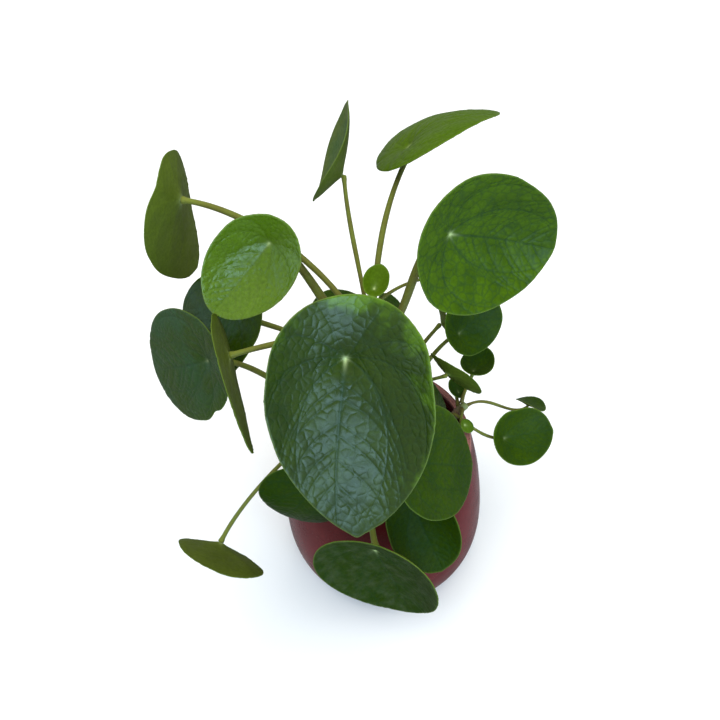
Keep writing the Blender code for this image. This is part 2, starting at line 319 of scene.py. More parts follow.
def node(tree, kind, settings=None, **links):
    """Adds a node. Each link is an input's name or number with a value or another socket."""
    made = tree.nodes.new(kind)
    for key, value in (settings or {}).items():
        setattr(made, key, value)
    for key, value in links.items():
        index = int(key[1:]) if key[0] == "i" and key[1:].isdigit() else key.replace("_", " ")
        socket = made.inputs[index]
        if isinstance(value, bpy.types.NodeSocket):
            tree.links.new(value, socket)
        else:
            socket.default_value = value
    return made


def maths(tree, operation, a, b=0.0, c=0.0, clamp=False):
    """One sum on values or sockets."""
    settings = {"operation": operation, "use_clamp": clamp}
    return node(tree, "ShaderNodeMath", settings, i0=a, i1=b, i2=c).outputs[0]


def blended(tree, factor, a, b, blend="MIX"):
    """Colour a turning into colour b as the factor goes from 0 to 1."""
    mix = tree.nodes.new("ShaderNodeMix")
    mix.data_type = "RGBA"
    mix.blend_type = blend
    for index, value in ((0, factor), (6, a), (7, b)):
        if isinstance(value, bpy.types.NodeSocket):
            tree.links.new(value, mix.inputs[index])
        else:
            mix.inputs[index].default_value = value
    return mix.outputs[2]


def spread(tree, value, low, high, to_low=0.0, to_high=1.0):
    """A value's range mapped onto another, held at both ends."""
    made = node(tree, "ShaderNodeMapRange", {"interpolation_type": "SMOOTHSTEP"}, i0=value)
    for index, number in ((1, low), (2, high), (3, to_low), (4, to_high)):
        if isinstance(number, bpy.types.NodeSocket):
            tree.links.new(number, made.inputs[index])
        else:
            made.inputs[index].default_value = number
    return made.outputs[0]


def noise_at(tree, vector, scale, detail=3.0, roughness=0.5):
    """A noise value, about 0.5 on average."""
    made = node(tree, "ShaderNodeTexNoise", None, Vector=vector, Scale=scale, Detail=detail)
    made.inputs["Roughness"].default_value = roughness
    return made.outputs[0]


def carried(tree, name):
    """A value that the mesh carries at its points."""
    return node(tree, "ShaderNodeAttribute", {"attribute_name": name}).outputs["Fac"]


def rgba(colour):
    return (*colour, 1.0)


COLOUR, VALUE = "NodeSocketColor", "NodeSocketFloat"


def leaf_tissue_group():
    """Colour, roughness and height of a leaf's skin, from the veins that its mesh carries."""
    inputs = [
        ("Cell Colour", COLOUR, (0.05, 0.12, 0.01, 1)),
        ("Deep Colour", COLOUR, (0.02, 0.06, 0.01, 1)),
        ("Vein Colour", COLOUR, (0.02, 0.05, 0.02, 1)),
        ("Hub Colour", COLOUR, (0.4, 0.5, 0.2, 1)),
        ("Rim Colour", COLOUR, (0.2, 0.3, 0.08, 1)),
        # painted light: the margin colour is a paler yellow-green laid on the blade's lit side
        ("Margin Colour", COLOUR, (0.1, 0.2, 0.02, 1)),
        ("Vein Strength", VALUE, 0.6),
        ("Net Strength", VALUE, 0.4),
        ("Patchiness", VALUE, 0.5),
        ("Dust", VALUE, 0.0),
        ("Gloss", VALUE, 0.3),
    ]
    outputs = [("Colour", COLOUR), ("Roughness", VALUE), ("Height", VALUE)]
    tree, given, out = new_group("leaf_tissue", inputs, outputs)
    flat = node(tree, "ShaderNodeUVMap", {"uv_map": "flat"}).outputs[0]
    nerve, net = carried(tree, "nerve"), carried(tree, "net")
    pale, rim = carried(tree, "pale"), carried(tree, "rim")
    broad = noise_at(tree, flat, 6.0, 3.0, 0.55)
    patch = spread(tree, broad, 0.35, 0.7)
    patch = maths(tree, "MULTIPLY", patch, given.outputs["Patchiness"])
    colour = blended(tree, patch, given.outputs["Cell Colour"], given.outputs["Deep Colour"])
    # painted light: the margin colour shows where the outer band lies toward the sun
    lit_edge = maths(tree, "ADD", carried(tree, "outer"), spread(tree, broad, 0.3, 0.7, -0.35, 0.3))
    colour = blended(tree, spread(tree, lit_edge, 0.35, 1.0), colour, given.outputs["Margin Colour"])
    mottle = spread(tree, noise_at(tree, flat, 60.0, 4.0, 0.6), 0.3, 0.75, 0.86, 1.12)
    colour = blended(tree, 1.0, colour, grey(tree, mottle), "MULTIPLY")
    netted = maths(tree, "MULTIPLY", net, given.outputs["Net Strength"], clamp=True)
    colour = blended(tree, netted, colour, given.outputs["Vein Colour"])
    veined = maths(tree, "MULTIPLY", nerve, given.outputs["Vein Strength"], clamp=True)
    ray = maths(tree, "MULTIPLY", pale, 1.0, clamp=True)
    vein_colour = blended(tree, ray, given.outputs["Vein Colour"], given.outputs["Hub Colour"])
    colour = blended(tree, veined, colour, vein_colour)
    dot = maths(tree, "POWER", pale, 4.0)
    colour = blended(tree, dot, colour, given.outputs["Hub Colour"])
    rimmed = maths(tree, "MULTIPLY", rim, 0.45, clamp=True)
    colour = blended(tree, rimmed, colour, given.outputs["Rim Colour"])
    specks = spread(tree, noise_at(tree, flat, 420.0, 2.0, 0.6), 0.66, 0.74)
    dusty = maths(tree, "MULTIPLY", specks, given.outputs["Dust"], clamp=True)
    film = spread(tree, noise_at(tree, flat, 14.0, 5.0, 0.62), 0.35, 0.8)
    film = maths(tree, "MULTIPLY", film, given.outputs["Dust"], clamp=True)
    dusty = maths(tree, "MAXIMUM", dusty, maths(tree, "MULTIPLY", film, 0.55))
    colour = blended(tree, dusty, colour, (0.2, 0.2, 0.15, 1))
    smears = spread(tree, noise_at(tree, flat, 22.0, 5.0, 0.6), 0.3, 0.75, -0.05, 0.12)
    rough = maths(tree, "ADD", given.outputs["Gloss"], smears)
    rough = maths(tree, "ADD", rough, maths(tree, "MULTIPLY", dusty, 0.5))
    rough = maths(tree, "ADD", rough, maths(tree, "MULTIPLY", nerve, 0.08))
    pores = noise_at(tree, flat, 900.0, 2.0, 0.5)
    height = maths(tree, "MULTIPLY", pores, 0.12)
    height = maths(tree, "SUBTRACT", height, maths(tree, "MULTIPLY", net, 0.5))
    tree.links.new(colour, out.inputs["Colour"])
    tree.links.new(rough, out.inputs["Roughness"])
    tree.links.new(height, out.inputs["Height"])
    return tree


def grey(tree, value):
    """A value as a grey colour."""
    return node(tree, "ShaderNodeCombineColor", None, i0=value, i1=value, i2=value).outputs[0]


def grain_group():
    """Mottled colour, roughness and height on any solid piece, in the object's own space."""
    inputs = [
        ("Light Colour", COLOUR, (0.5, 0.5, 0.5, 1)),
        ("Dark Colour", COLOUR, (0.2, 0.2, 0.2, 1)),
        ("Size", VALUE, 100.0),
        ("Contrast", VALUE, 0.5),
        ("Roughness Low", VALUE, 0.4),
        ("Roughness High", VALUE, 0.7),
    ]
    outputs = [("Colour", COLOUR), ("Roughness", VALUE), ("Height", VALUE)]
    tree, given, out = new_group("grain", inputs, outputs)
    place = node(tree, "ShaderNodeTexCoord").outputs["Object"]
    coarse = noise_at(tree, place, given.outputs["Size"], 5.0, 0.6)
    factor = spread(tree, coarse, 0.32, 0.7)
    factor = maths(tree, "MULTIPLY", factor, given.outputs["Contrast"])
    colour = blended(tree, factor, given.outputs["Light Colour"], given.outputs["Dark Colour"])
    rough = spread(tree, coarse, 0.3, 0.7)
    low, high = given.outputs["Roughness Low"], given.outputs["Roughness High"]
    rough = spread(tree, rough, 0.0, 1.0, low, high)
    tree.links.new(colour, out.inputs["Colour"])
    tree.links.new(rough, out.inputs["Roughness"])
    tree.links.new(coarse, out.inputs["Height"])
    return tree


GROUPS = {}


def shared_group(name):
    """The node group of this name, built when first asked for."""
    if name not in GROUPS:
        GROUPS[name] = {"leaf_tissue": leaf_tissue_group, "grain": grain_group}[name]()
    return GROUPS[name]


def new_material(name):
    """A material with its tree and its Principled shader."""
    material = bpy.data.materials.new(name)
    material.use_nodes = True
    tree = material.node_tree
    return material, tree, tree.nodes["Principled BSDF"]


def placed(tree, group_name, **values):
    """A shared group in a material, with the material's own values."""
    made = tree.nodes.new("ShaderNodeGroup")
    made.node_tree = shared_group(group_name)
    for key, value in values.items():
        made.inputs[key.replace("_", " ")].default_value = value
    return made


def bumped(tree, shader, height, strength, distance):
    """Small relief on the shader's surface."""
    bump = node(tree, "ShaderNodeBump", None, Height=height)
    bump.inputs["Strength"].default_value = strength
    bump.inputs["Distance"].default_value = distance
    tree.links.new(bump.outputs[0], shader.inputs["Normal"])


# ---------------------------------------------------------------- settings


def angle_property(name, description, degrees):
    return FloatProperty(
        name=name, description=description, default=math.radians(degrees), subtype="ANGLE"
    )


def colour_property(name, description, default):
    return FloatVectorProperty(
        name=name, description=description, subtype="COLOR", size=3, min=0, max=1, default=default
    )


def length_property(name, description, default):
    return FloatProperty(
        name=name, description=description, default=default, unit="LENGTH", subtype="DISTANCE"
    )


class MONEYPLANT_PG_pot(bpy.types.PropertyGroup):
    """Sizes and colours of the glazed cover pot."""

    glaze: colour_property("Glaze", "Colour of the thick glaze", (0.105, 0.013, 0.015))
    # the thin glaze is real glaze wear in part and a painted highlight in part
    worn_and_highlight: colour_property("Thin glaze", "Colour where the glaze runs thin", (0.32, 0.14, 0.12))
    around: IntProperty(name="Around", description="Points round the pot", default=160)


class MONEYPLANT_PG_soil(bpy.types.PropertyGroup):
    """Sizes and colours of the potting soil."""

    earth: colour_property("Earth", "Colour of the damp soil", (0.022, 0.014, 0.009))
    fibre: colour_property("Fibre", "Colour of bark and fibre in it", (0.085, 0.05, 0.028))
    unevenness: length_property("Unevenness", "Height of the lumps", 0.0016)
    crumbs: IntProperty(name="Crumbs", description="Loose crumbs on top", default=420)


class MONEYPLANT_PG_stem(bpy.types.PropertyGroup):
    """Sizes and colours of the woody stems."""

    bark: colour_property("Bark", "Colour of the old bark", (0.16, 0.105, 0.062))
    crease: colour_property("Crease", "Colour in the bark's creases", (0.05, 0.03, 0.018))
    shoot: colour_property("Shoot", "Colour of the green growing end", (0.17, 0.22, 0.07))
    scar_depth: length_property("Scar depth", "Depth of the leaf scars", 0.0006)


class MONEYPLANT_PG_stalk(bpy.types.PropertyGroup):
    """Sizes and colours of the leaf stalks."""

    green: colour_property("Green", "Colour of a stalk", (0.115, 0.14, 0.022))
    brown: colour_property("Brown", "Colour of its shaded and older parts", (0.095, 0.075, 0.018))
    foot: FloatProperty(name="Foot", description="Swelling at the root", default=1.5)
    flare: FloatProperty(name="Flare", description="Widening at the blade", default=1.35)
    waist: FloatProperty(name="Waist", description="Thickness half way", default=1.0)


class MONEYPLANT_PG_blade(bpy.types.PropertyGroup):
    """Sizes and colours of the leaf blades."""

    spacing: length_property("Spacing", "Distance between a blade's points", 0.00062)
    thickness: length_property("Thickness", "Thickness at the middle", 0.0008)
    vein_depth: length_property("Vein depth", "How far the nerves sink in", 0.00022)
    quilting: length_property("Quilting", "Rise of the surface between nerves", 0.0004)
    blistering: length_property("Blistering", "Rise of the small cells", 0.00016)
    mature: colour_property("Mature green", "Full-grown blades", (0.035, 0.074, 0.001))
    deep: colour_property("Deep green", "Darker patches of full-grown blades", (0.015, 0.042, 0.002))
    # the teal is the blades' own bluish tone in part and a painted blue sheen in part
    teal_and_sheen: colour_property("Teal", "Bluish patches of shaded blades", (0.017, 0.05, 0.014))
    fresh: colour_property("Fresh green", "Young blades", (0.066, 0.128, 0.004))
    vein: colour_property("Vein", "The nerves' blue-green", (0.008, 0.03, 0.012))
    hub: colour_property("Hub", "The pale point over the stalk", (0.42, 0.52, 0.22))
    rim: colour_property("Rim", "The thin pale edge", (0.12, 0.18, 0.03))
    under: colour_property("Underside", "The dull underside", (0.062, 0.09, 0.008))


class MONEYPLANT_PG_stage(bpy.types.PropertyGroup):
    """The camera and the studio round the plant."""

    pitch: angle_property("Pitch", "Downward tilt of the camera", 50)
    roll: angle_property("Roll", "Turn of the camera about its view", 4.5)
    lens: FloatProperty(name="Lens", description="Focal length in millimetres", default=45.0)
    backdrop: colour_property("Backdrop", "The floor's colour", (0.86, 0.86, 0.86))


SETTINGS = {
    "pot": MONEYPLANT_PG_pot,
    "soil": MONEYPLANT_PG_soil,
    "stem": MONEYPLANT_PG_stem,
    "stalk": MONEYPLANT_PG_stalk,
    "blade": MONEYPLANT_PG_blade,
    "stage": MONEYPLANT_PG_stage,
}


def settings(kind):
    """The scene's sizes and colours for one kind of piece."""
    return getattr(bpy.context.scene, "moneyplant_" + kind)


# ---------------------------------------------------------------- blades

SPOKES, RINGS = 16, 4  # points round each ring of a solid blade, and rings out to its rim
CALM_HUB = 4 * MM  # nearer to the hub than this, a blade's normals turn to the hub's own
SMALL_BLADE = 0.035  # a blade shorter than this has its points closer together
FULL_BLADE = 0.06  # a blade this long or longer is marked at full strength
BROAD_WAVE = 0.028  # size of a blade's broad waves
SWELL_SIZE = 0.018  # size of the stretches where the small cells stand higher
TIP_SPREAD = 0.11  # half width of the pointed tip, in radians round the blade
CRINKLE_PITCH = 0.0375  # length of rim to which one turn of the crinkle's sine belongs
EDGE_OVERHANG = 0.12 * MM  # how far the blade's edge stands out between its two skins


def matched(inner, outer, near, points):
    """The outer ring turned, and reversed if need be, so that its points follow the inner's."""
    best = None
    for ring in (outer, outer[::-1]):
        for turn in range(SPOKES):
            tried = np.roll(ring, -turn)
            if all(b in near[a] for a, b in zip(inner.tolist(), tried.tolist())):
                length = ((points[tried] - points[inner]) ** 2).sum()
                if best is None or length < best[0]:
                    best = (length, tried)
    if best is None:
        raise RuntimeError("a blade's rings don't join")
    return best[1]


class BladeShape:
    """A solid blade's upper side as a smooth function of ring, 0 to 1, and turn from the tip."""

    def __init__(self, name, lean):
        points, triangles = welded(name + "_leaf")
        near = neighbours(triangles)
        stalk = welded(name + "_stalk")[0]
        hubs = [i for i, others in near.items() if len(others) == SPOKES]
        hubs.sort(key=lambda i: np.linalg.norm(stalk - points[i], axis=1).min())
        under, top = hubs
        self.hub = points[top]
        self.normal = unit(points[top] - points[under])
        layers = layers_from({top}, near)[1 : RINGS + 1]
        orders = [np.array(in_order(layer, near)) for layer in layers]
        first = points[orders[0]] - self.hub
        turning = np.cross(first, np.roll(first, -1, axis=0)).sum(axis=0)
        if turning @ self.normal > 0:
            orders[0] = orders[0][::-1]
        for k in range(1, RINGS):
            orders[k] = matched(orders[k - 1], orders[k], near, points)
        rings = [points[order] - self.hub for order in orders]
        tip = int(np.argmax(np.linalg.norm(rings[-1], axis=1)))
        rings = [np.zeros((SPOKES, 3))] + [np.roll(ring, -tip, axis=0) for ring in rings]
        rim = rings[-1]
        forward = unit(rim[0] - self.normal * (rim[0] @ self.normal))
        across = np.cross(forward, self.normal)
        steps = [np.linalg.norm(b - a, axis=1) for a, b in zip(rings, rings[1:])]
        lengths = np.vstack([np.zeros(SPOKES), np.cumsum(steps, axis=0)])
        angles = np.arctan2(rim @ across, rim @ forward) - lean
        flat = np.stack([lengths * np.sin(angles), lengths * np.cos(angles)], axis=-1)
        self.grid = np.concatenate([np.array(rings) + self.hub, flat], axis=-1)
        self.length = lengths[-1].max()
        self.half_width = np.abs(flat[-1, :, 0]).max()
        self.round = np.linalg.norm(rim - np.roll(rim, -1, axis=0), axis=1).sum()

    def at(self, ring, turn):
        """Places in space and on the flattened blade."""
        knots = np.arange(RINGS + 1) / RINGS
        radial = np.ones((len(ring), RINGS + 1))
        for k in range(RINGS + 1):
            for other in range(RINGS + 1):
                if other != k:
                    radial[:, k] *= (ring - knots[other]) / (knots[k] - knots[other])
        offset = turn[:, None] - np.arange(SPOKES) * 2 * np.pi / SPOKES
        waves = 1 + np.cos(offset * SPOKES / 2)
        for m in range(1, SPOKES // 2):
            waves = waves + 2 * np.cos(m * offset)
        return np.einsum("nk,nj,kjc->nc", radial, waves / SPOKES, self.grid, optimize=True)

    def with_normals(self, ring, turn):
        """Places in space, places on the flattened blade, and normals."""
        step = 1e-3
        here = self.at(ring, turn)
        inner = np.maximum(ring, 0.02)
        out = self.at(inner + step, turn)[:, :3] - self.at(inner, turn)[:, :3]
        round_ = self.at(inner, turn + step)[:, :3] - self.at(inner, turn)[:, :3]
        share = ease(ring * self.length / CALM_HUB)[:, None]
        normals = unit(np.cross(round_, out)) * share + self.normal * (1 - share)
        return here[:, :3], here[:, 3:], unit(normals)


def curve(a, b, c, d, count=12):
    """Points along a cubic with these four control points."""
    t = np.linspace(0, 1, count)[:, None]
    a, b, c, d = (np.array(point, float) for point in (a, b, c, d))
    return a * (1 - t) ** 3 + 3 * b * t * (1 - t) ** 2 + 3 * c * t * t * (1 - t) + d * t**3


def nerve_tree(rng):
    """Nerves on a blade one wide each way and one long: lines with their half widths in mm."""
    nerves = []

    def add(line, first, last):
        nerves.append((line, np.linspace(first, last, len(line))))

    def jitter(size):
        return rng.uniform(-size, size)

    middle = curve((0, 0), (jitter(0.03), 0.35), (jitter(0.04), 0.7), (jitter(0.03), 0.985), 16)
    add(middle, 0.55, 0.2)
    arcs = []
    for side in (-1, 1):
        inner = curve(
            (0, 0),
            (side * (0.36 + jitter(0.04)), 0.1 + jitter(0.03)),
            (side * (0.62 + jitter(0.04)), 0.5 + jitter(0.05)),
            (side * (0.34 + jitter(0.04)), 0.88),
            18,
        )
        add(inner, 0.42, 0.12)
        outer = curve(
            (0, 0),
            (side * (0.5 + jitter(0.04)), -0.12),
            (side * (0.98 + jitter(0.03)), 0.1),
            (side * 0.86, 0.52 + jitter(0.05)),
            16,
        )
        add(outer, 0.3, 0.1)
        back = curve(
            (0, 0),
            (side * 0.3, -0.16 + jitter(0.02)),
            (side * 0.66, -0.26),
            (side * 0.86, -0.06 + jitter(0.04)),
            12,
        )
        add(back, 0.24, 0.08)
        short = curve((0, 0), (side * 0.1, -0.12), (side * 0.2, -0.24), (side * 0.34, -0.33), 8)
        add(short, 0.2, 0.06)
        arcs.append((side, inner, outer, back))
    for side, inner, outer, back in arcs:
        for k in range(7):
            share = 0.12 + 0.11 * k + 0.03 * (side > 0) + jitter(0.015)
            start = middle[int(share * 15)]
            reach = side * (0.52 - 0.4 * max(0.0, share - 0.4)) * (1 + jitter(0.06))
            end = (reach, start[1] + 0.3)
            if end[1] > 0.95:
                end = (reach * (0.98 - start[1]) / 0.3, 0.95)
            bend_a = start + np.array((reach * 0.3, 0.06))
            bend_b = (reach * 0.75, start[1] + 0.16)
            add(curve(start, bend_a, bend_b, end, 9), 0.22, 0.07)
        for line, onward, count in ((inner, 0.36, 6), (outer, 0.2, 6), (back, 0.16, 4)):
            for k in range(count):
                start = line[int((0.16 + 0.8 * k / count) * (len(line) - 1))]
                away = unit(start + np.array((side * 0.05, 0.12)))
                stretch = onward * (1 + jitter(0.15))
                end = start + away * stretch + np.array((0, 0.05))
                bend = start + away * stretch * 0.5 + np.array((side * 0.02, -0.01))
                add(curve(start, bend, bend, end, 6), 0.15, 0.05)
    return nerves


def nerve_marks(flat, scale, nerves, sharpness):
    """At each place, how much it lies on a nerve and how far it is from the nearest one, in mm."""
    marks = np.zeros(len(flat))
    gaps = np.full(len(flat), 1.0)
    for line, widths in nerves:
        line = line * scale
        low, high = line.min(axis=0) - 6 * MM, line.max(axis=0) + 6 * MM
        chosen = np.flatnonzero(((flat > low) & (flat < high)).all(axis=1))
        if len(chosen) == 0:
            continue
        places = flat[chosen]
        nearest = np.full(len(chosen), 1.0)
        mark = np.zeros(len(chosen))
        for p, q, wide, narrow in zip(line, line[1:], widths, widths[1:]):
            along = q - p
            share = np.clip((places - p) @ along / (along @ along), 0, 1)
            gap = np.linalg.norm(places - p - share[:, None] * along, axis=1)
            width = (wide + (narrow - wide) * share) * sharpness * MM
            strength = (0.35 + 0.65 * width / (0.55 * MM)).clip(0, 1)
            mark = np.maximum(mark, strength * bell(gap, width + 0.22 * MM))
            nearest = np.minimum(nearest, gap)
        marks[chosen] = np.maximum(marks[chosen], mark)
        gaps[chosen] = np.minimum(gaps[chosen], nearest)
    return marks, gaps / MM


def cell_net(flat, size, seed):
    """At each place, how far inside its small cell it lies: 0 on the net, about 1 in the middle."""
    shift = Vector((seed * 5.3, seed * 2.9, seed * 1.7))
    inside = np.empty(len(flat))
    for i, (x, y) in enumerate(flat.tolist()):
        near = noise.voronoi(Vector((x / size, y / size, 0.0)) + shift)[0]
        inside[i] = near[1] - near[0]
    return inside


class Look:
    """What sets one blade apart.

    finish, under: finish of its upper and its lower side
    quilt, blister: how much its surface rises between the nerves and in the small cells
    wave, funnel: height in mm of its broad waves and of the swelling round its hub
    cell: size in mm of the small cells
    tip: how far in mm its tip is drawn out
    fine: distance between its points, as a factor
    lean: turn of its tip and its nerves, in radians
    crinkle: depth of the crinkles along its rim, as a factor
    sun: where round it the margin is lightest, a painted lit side, in radians from the tip
    dents: notches and waists in its rim, each with its turn, width in radians and depth in mm
    stout: thickness of its stalk, as a factor
    """

    def __init__(
        self,
        finish="shade_light",
        quilt=1.0,
        blister=1.0,
        wave=0.7,
        cell=4.4,
        tip=0.8,
        fine=1.0,
        lean=0.0,
        crinkle=0.35,
        under="under",
        sun=3.9,
        dents=(),
        stout=1.0,
        funnel=0.8,
    ):
        self.finish = finish
        self.quilt = quilt
        self.blister = blister
        self.wave = wave
        self.cell = cell
        self.tip = tip
        self.fine = fine
        self.lean = lean
        self.crinkle = crinkle
        self.under = under
        self.sun = sun
        self.dents = dents
        self.stout = stout
        self.funnel = funnel


LOOKS = {
    "front": Look(
        "mature",
        quilt=0.85,
        blister=1.3,
        wave=1.1,
        cell=4.2,
        tip=1.2,
        fine=0.8,
        lean=0.17,
        crinkle=0.8,
        funnel=1.7,
    ),
    "right_large": Look(
        "mature_light", quilt=0.9, blister=0.9, wave=0.5, cell=4.8, tip=0.5, fine=0.85, stout=1.15
    ),
    "far_left": Look(dents=((3.45, 0.25, 1.9), (2.9, 0.22, -1.4), (1.83, 0.3, -1.2)), stout=1.1),
    "upper_left": Look("fresh", blister=1.2, wave=0.6, cell=4.0, tip=0.3, fine=0.85, stout=1.5),
    "top_right": Look("fresh_deep", quilt=0.7, blister=0.8, wave=0.5, cell=4.2),
    "bottom": Look("dusty", quilt=0.8, blister=0.7, wave=0.6, cell=4.6, tip=0.5, fine=0.9),
    "right_mid": Look(quilt=0.7, blister=0.8),
    "right_low": Look("shade", quilt=0.6, blister=0.6),
    "left_low": Look("shade_gloss", quilt=0.9, blister=0.9, wave=0.9, dents=((4.44, 0.14, 2.2),)),
    "left_back": Look("shade_gloss", quilt=0.7, blister=0.7),
    "right_back": Look(quilt=0.6, blister=0.7),
    "crown": Look("fresh_deep", quilt=0.4, blister=0.4, wave=0.4, cell=3.0),
    "top_edge": Look("edge", quilt=0.2, blister=0.2, wave=0.4),
    "pup_round": Look(quilt=0.4, blister=0.5, wave=0.5, cell=3.2, dents=((4.69, 0.3, 1.8),)),
    "left_front": Look("shade", quilt=0.7, blister=0.7, under="shade"),
    "pup_tiny": Look("shade", quilt=0.5, blister=0.5, under="shade"),
    "sprout": Look("fresh_deep", quilt=0.2, blister=0.2, wave=0.2, cell=2.4, tip=0.2),
}


SHADED_HUB = 0.32  # how bright a shaded blade's pale dot is next to a sunlit one's


def blade_finish(name):
    """The material of one kind of blade skin, made once."""
    label = "leaf_" + name
    if label in bpy.data.materials:
        return bpy.data.materials[label]
    look = settings("blade")
    mature, deep, fresh, under, teal_and_sheen = (
        np.array(c) for c in (look.mature, look.deep, look.fresh, look.under, look.teal_and_sheen)
    )
    # colours of the cells, of the darker patches and of the margin, which is painted light on the lit
    # side, then how strongly nerves, net, patches and dust show, then the roughness and the specular
    # level
    cell, shade, margin, strength, net, patch, dust, gloss, shine = {
        "mature": (mature * 0.56, deep * 0.5, mature * 1.8, 0.7, 0.25, 0.6, 0.0, 0.33, 0.36),
        "mature_light": (mature * 1.3, deep * 0.9, mature * 1.4, 0.75, 0.4, 0.5, 0.0, 0.32, 0.1),
        "shade": (mature * 0.5, deep * 0.8, mature * 0.62, 0.4, 0.2, 0.75, 0.0, 0.4, 0.04),
        # shade_gloss and edge take teal patches: own bluish tone in part, painted blue sheen in part
        "shade_gloss": (mature * 0.56, teal_and_sheen, mature * 0.66, 0.4, 0.2, 0.75, 0.0, 0.3, 0.15),
        "shade_light": (mature * 0.7, deep * 0.7, mature * 0.9, 0.45, 0.25, 0.6, 0.0, 0.36, 0.05),
        "fresh": (fresh * 1.15, mature * 1.6, fresh * 1.1, 0.3, 0.16, 0.6, 0.0, 0.26, 0.42),
        "fresh_deep": (fresh * 0.86, mature * 1.3, fresh * 0.92, 0.4, 0.22, 0.6, 0.0, 0.4, 0.06),
        # dusty: its dark cell colours are painted shade, with real dust laid over them
        "dusty": (mature * 0.45, deep * 0.8, mature * 0.6, 0.35, 0.2, 0.7, 0.22, 0.5, 0.03),
        "edge": (under * 1.1, teal_and_sheen * 1.6, under * 1.1, 0.2, 0.1, 0.7, 0.15, 0.55, 0.2),
        "under": (under * 1.14, under * 0.8, under * 1.14, 0.25, 0.16, 0.6, 0.05, 0.6, 0.04),
    }[name]
    vein = np.array(look.vein)
    if name == "under":
        vein = under * 1.35
    elif name.startswith("fresh"):
        vein = fresh * 0.55
    hub = np.array(look.hub) * (SHADED_HUB if name.startswith("shade") else 1)
    material, tree, shader = new_material(label)
    tissue = placed(
        tree,
        "leaf_tissue",
        Cell_Colour=rgba(cell),
        Deep_Colour=rgba(shade),
        Vein_Colour=rgba(vein),
        Hub_Colour=rgba(hub),
        Rim_Colour=rgba(look.rim),
        Margin_Colour=rgba(margin),
        Vein_Strength=strength,
        Net_Strength=net,
        Patchiness=patch,
        Dust=dust,
        Gloss=gloss,
    )
    tree.links.new(tissue.outputs["Colour"], shader.inputs["Base Color"])
    tree.links.new(tissue.outputs["Roughness"], shader.inputs["Roughness"])
    shader.inputs["Specular IOR Level"].default_value = shine
    bumped(tree, shader, tissue.outputs["Height"], 0.35, 0.0003)
    return material


def rim_reach(shape, look, ring, turn, small, number):
    """How far each point is moved out from the hub, in mm: tip, crinkles, dents and wobble."""
    reach = look.tip * bell(apart(turn, look.lean), TIP_SPREAD) * small
    ripple = np.sin(turn * shape.round / CRINKLE_PITCH + 2 * np.sin(turn * 3))
    reach += 0.2 * look.crinkle * ripple
    reach *= ring**8
    for at, width, depth in look.dents:
        reach -= depth * ring**3 * bell(apart(turn, at), width)
    circle = np.column_stack([np.cos(turn), np.sin(turn)])
    return reach + 0.7 * small * ring**3 * wobble(circle, 0.5, number + 80, 1)


